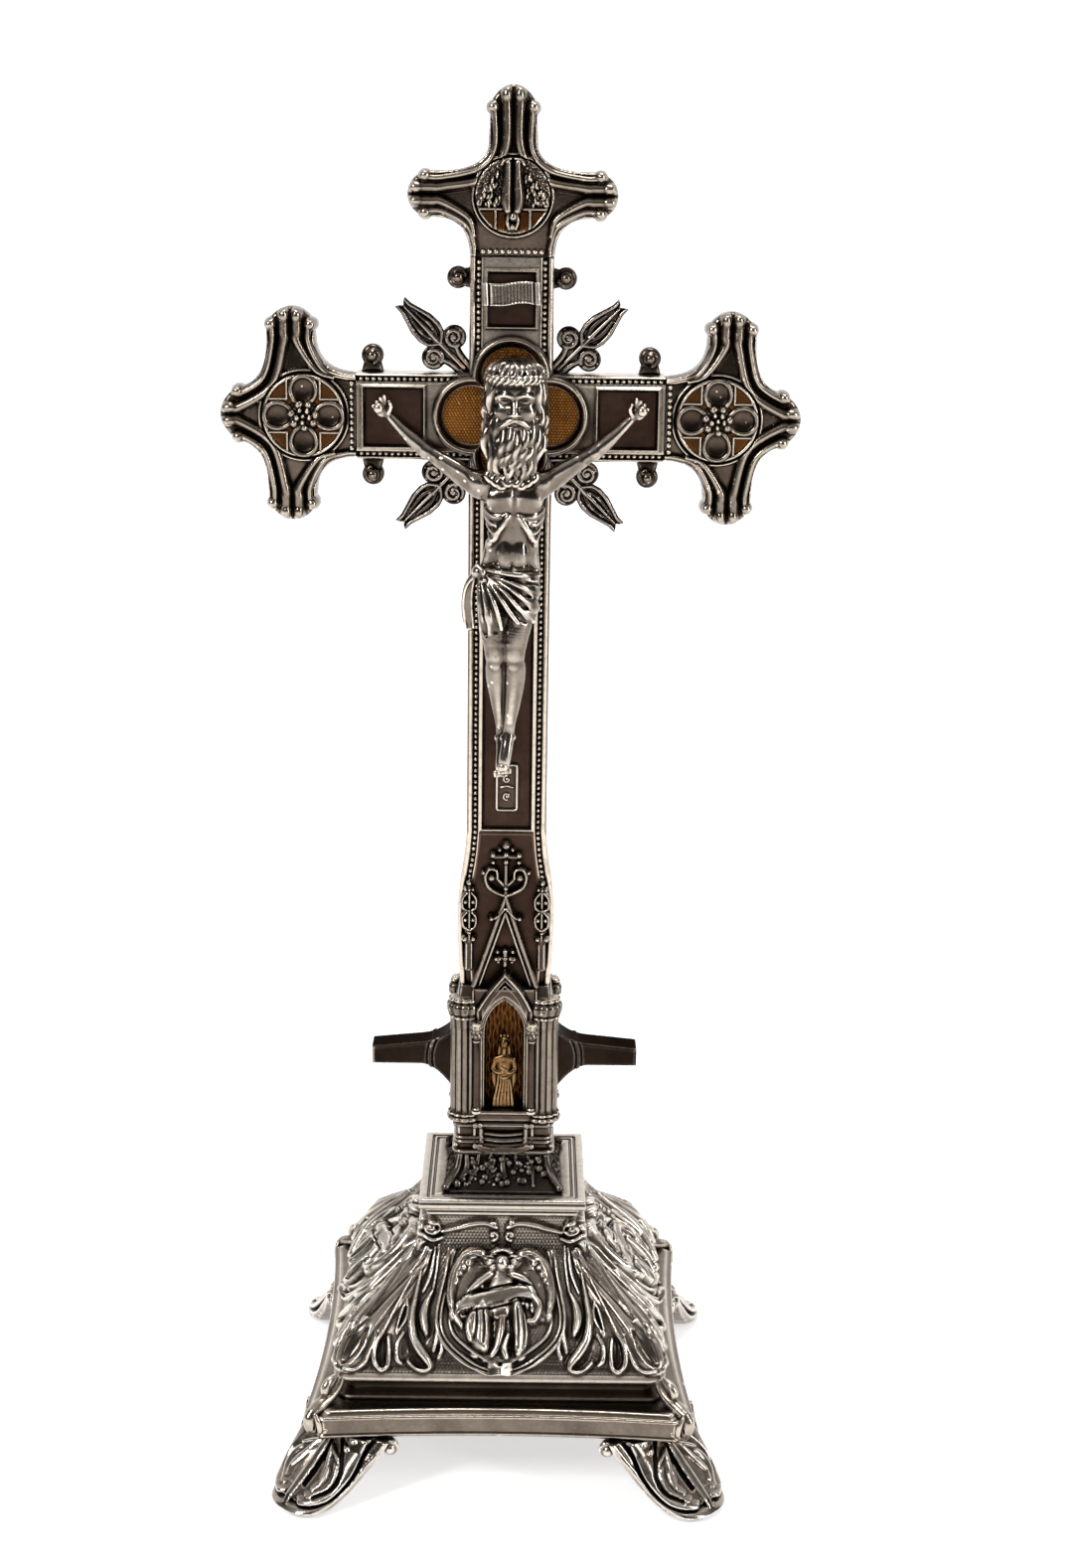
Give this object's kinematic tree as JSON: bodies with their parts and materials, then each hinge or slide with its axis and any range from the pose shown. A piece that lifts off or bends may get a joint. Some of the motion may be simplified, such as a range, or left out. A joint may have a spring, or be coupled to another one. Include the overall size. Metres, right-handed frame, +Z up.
{
  "type": "altar cross",
  "caption": "Standing silver-plated altar crucifix with lobed arms and corpus, on a Gothic niche column and a stamped square base with leafy claw feet",
  "frame": {"origin": "centre of the square under the four soles, on the surface that the cross stands on", "axes": "+Z up along the shaft, +X to the viewer's right along the arms, -Y toward the viewer, where the corpus faces"},
  "size_m": [0.2118, 0.1724, 0.52],
  "materials": {
    "silver_plate": "polished silver plate, tarnished brown in the hollows",
    "dark_silver": "blackened silver plate, rubbed bright on the edges",
    "gilt": "old gilding, granular ground",
    "steel_fixing": "plain turned steel"
  },
  "bodies": {
    "root": {"foot_front_left": "silver_plate", "foot_front_right": "silver_plate", "foot_rear_left": "silver_plate", "foot_rear_right": "silver_plate", "foot_nut_front_left": "steel_fixing", "foot_nut_front_right": "steel_fixing", "foot_nut_rear_left": "steel_fixing", "foot_nut_rear_right": "steel_fixing", "base_slab": "silver_plate", "base_cover": "silver_plate", "cartouche_front": "silver_plate", "cartouche_right": "silver_plate", "cartouche_rear": "silver_plate", "cartouche_left": "silver_plate", "upper_plinth": "silver_plate", "acanthus_socle": "dark_silver", "column_pedestal": "silver_plate", "niche_housing": "silver_plate", "niche_plate": "gilt", "niche_figure": "gilt", "colonnette_left": "silver_plate", "colonnette_right": "silver_plate", "shaft_collar": "silver_plate", "gable": "silver_plate", "pinnacle_left": "silver_plate", "pinnacle_right": "silver_plate", "bracket_left": "dark_silver", "bracket_right": "dark_silver", "cross_front_shell": "silver_plate", "cross_rear_shell": "silver_plate", "terminal_left": "silver_plate", "terminal_right": "silver_plate", "terminal_top": "silver_plate", "quatrefoil_left": "silver_plate", "quatrefoil_right": "silver_plate", "dove_medallion": "silver_plate", "spray_upper_left": "dark_silver", "spray_upper_right": "dark_silver", "spray_lower_left": "dark_silver", "spray_lower_right": "dark_silver", "nimbus_frame": "silver_plate", "nimbus_plate": "gilt", "panel_frame_lower": "silver_plate", "panel_frame_upper": "silver_plate", "panel_frame_left": "silver_plate", "panel_frame_right": "silver_plate", "titulus": "silver_plate", "foot_plaque": "silver_plate", "corpus": "silver_plate", "nail_left_hand": "silver_plate", "nail_right_hand": "silver_plate", "nail_feet": "silver_plate", "tie_rod": "steel_fixing", "tie_nut": "steel_fixing", "tie_washer": "steel_fixing", "anchor_block": "steel_fixing"}
  },
  "joints": []
}
